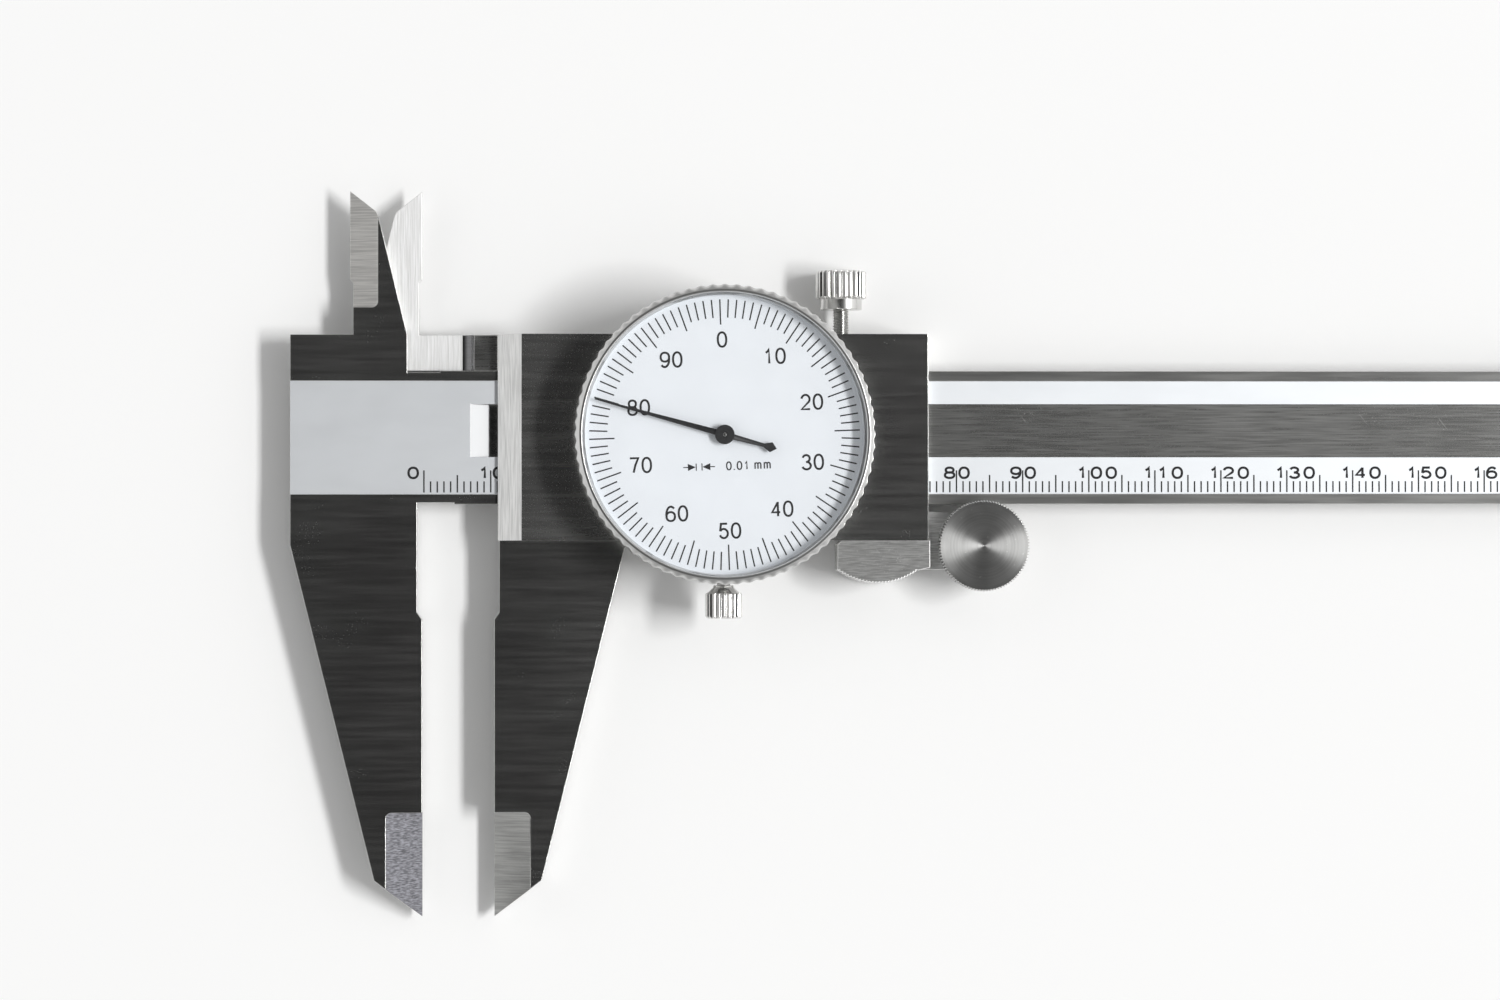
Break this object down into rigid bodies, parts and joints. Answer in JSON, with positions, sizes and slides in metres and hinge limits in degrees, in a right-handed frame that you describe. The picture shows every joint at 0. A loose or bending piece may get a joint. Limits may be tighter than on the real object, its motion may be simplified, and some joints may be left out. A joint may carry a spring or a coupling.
{
  "type": "dial caliper",
  "caption": "Long steel sliding caliper with outside and inside jaws, a round dial on the slider, a thumb roller, a lock screw and a depth blade.",
  "frame": {"origin": "on the flat end of the head, at the beam's centre line and back face", "axes": "+X along the beam, the way the slider opens; +Y across the beam, towards the inside jaws; +Z from the beam's back to its scale face"},
  "size_m": [0.4108, 0.109, 0.0171],
  "materials": {
    "ground_steel": "ground",
    "tool_steel": "ground",
    "screw_steel": "satin",
    "bright_steel": "nickel plated",
    "satin_chrome": "satin",
    "brass": "turned",
    "black_aluminium": "black anodised",
    "dial_white": "white printed",
    "spacer_grey": "satin",
    "clear_crystal": "clear"
  },
  "bodies": {
    "beam": {"main_beam": "ground_steel", "rack": "tool_steel", "rack_pins": "tool_steel", "end_stop": "ground_steel", "end_stop_screws": "screw_steel"},
    "slider": {"slider": "ground_steel", "back_plate": "ground_steel", "back_plate_screws": "screw_steel", "gib": "brass", "gib_screws": "screw_steel", "depth_blade": "ground_steel", "depth_blade_screws": "screw_steel", "thumb_rest": "ground_steel", "thumb_rest_screws": "screw_steel", "roller_arm": "ground_steel", "roller_arm_screw": "screw_steel", "roller_axle": "tool_steel", "dial_case": "satin_chrome", "dial_case_screws": "screw_steel", "bezel_spring_ring": "tool_steel", "pinion_bush": "brass", "centre_bush": "brass", "movement_bridge": "brass", "bridge_pillars": "brass", "bridge_screws": "screw_steel"},
    "roller": {"thumb_roller": "bright_steel"},
    "gear_shaft": {"pinion_arbor": "tool_steel", "main_gear": "brass", "take_up_gear": "brass", "take_up_spring": "tool_steel"},
    "pointer_shaft": {"pointer_arbor": "tool_steel", "pointer": "black_aluminium"},
    "bezel": {"bezel_ring": "satin_chrome", "dial_plate": "dial_white", "dial_spacer": "spacer_grey", "crystal": "clear_crystal"},
    "lock_pad": {"lock_pad": "brass"},
    "lock_screw": {"lock_screw": "bright_steel"},
    "clamp_shoe": {"clamp_shoe": "brass"},
    "clamp_screw": {"clamp_screw": "bright_steel"}
  },
  "joints": [
    {"name": "slider_slide", "type": "slide", "parent": "beam", "child": "slider", "axis": [1, 0, 0], "range_m": [-0.0108, 0.2892]},
    {"name": "roller_spin", "type": "hinge", "parent": "slider", "child": "roller", "pos_m": [0.1039, -0.0163, 0.004], "axis": [0, 0, 1], "continuous": true},
    {"name": "gear_spin", "type": "hinge", "parent": "slider", "child": "gear_shaft", "pos_m": [0.05658, 0.00086, 0.005], "axis": [0, 0, 1], "continuous": true},
    {"name": "pointer_spin", "type": "hinge", "parent": "slider", "child": "pointer_shaft", "pos_m": [0.0648, 0.0002, 0.012], "axis": [0, 0, 1], "continuous": true},
    {"name": "bezel_turn", "type": "hinge", "parent": "slider", "child": "bezel", "pos_m": [0.0648, 0.0002, 0.012], "axis": [0, 0, 1], "continuous": true},
    {"name": "lock_press", "type": "slide", "parent": "slider", "child": "lock_pad", "axis": [0, -1, 0], "range_m": [-0.0008, 0.0002]},
    {"name": "lock_turn", "type": "hinge", "parent": "lock_pad", "child": "lock_screw", "pos_m": [0.0827, 0.02, 0.002], "axis": [0, -1, 0], "range_deg": [-720, 180]},
    {"name": "clamp_press", "type": "slide", "parent": "slider", "child": "clamp_shoe", "axis": [0, 1, 0], "range_m": [-0.00004, 0.0002]},
    {"name": "clamp_turn", "type": "hinge", "parent": "clamp_shoe", "child": "clamp_screw", "pos_m": [0.0648, -0.025, 0.007], "axis": [0, 1, 0], "range_deg": [-36, 180]}
  ],
  "couplings": [
    {"joint": "roller_spin", "follows": "slider_slide", "rad_per_m": 160},
    {"joint": "gear_spin", "follows": "slider_slide", "rad_per_m": 628.32},
    {"joint": "pointer_spin", "follows": "slider_slide", "rad_per_m": -6283.2},
    {"joint": "lock_turn", "follows": "lock_press", "rad_per_m": 15708},
    {"joint": "clamp_turn", "follows": "clamp_press", "rad_per_m": 15708}
  ]
}
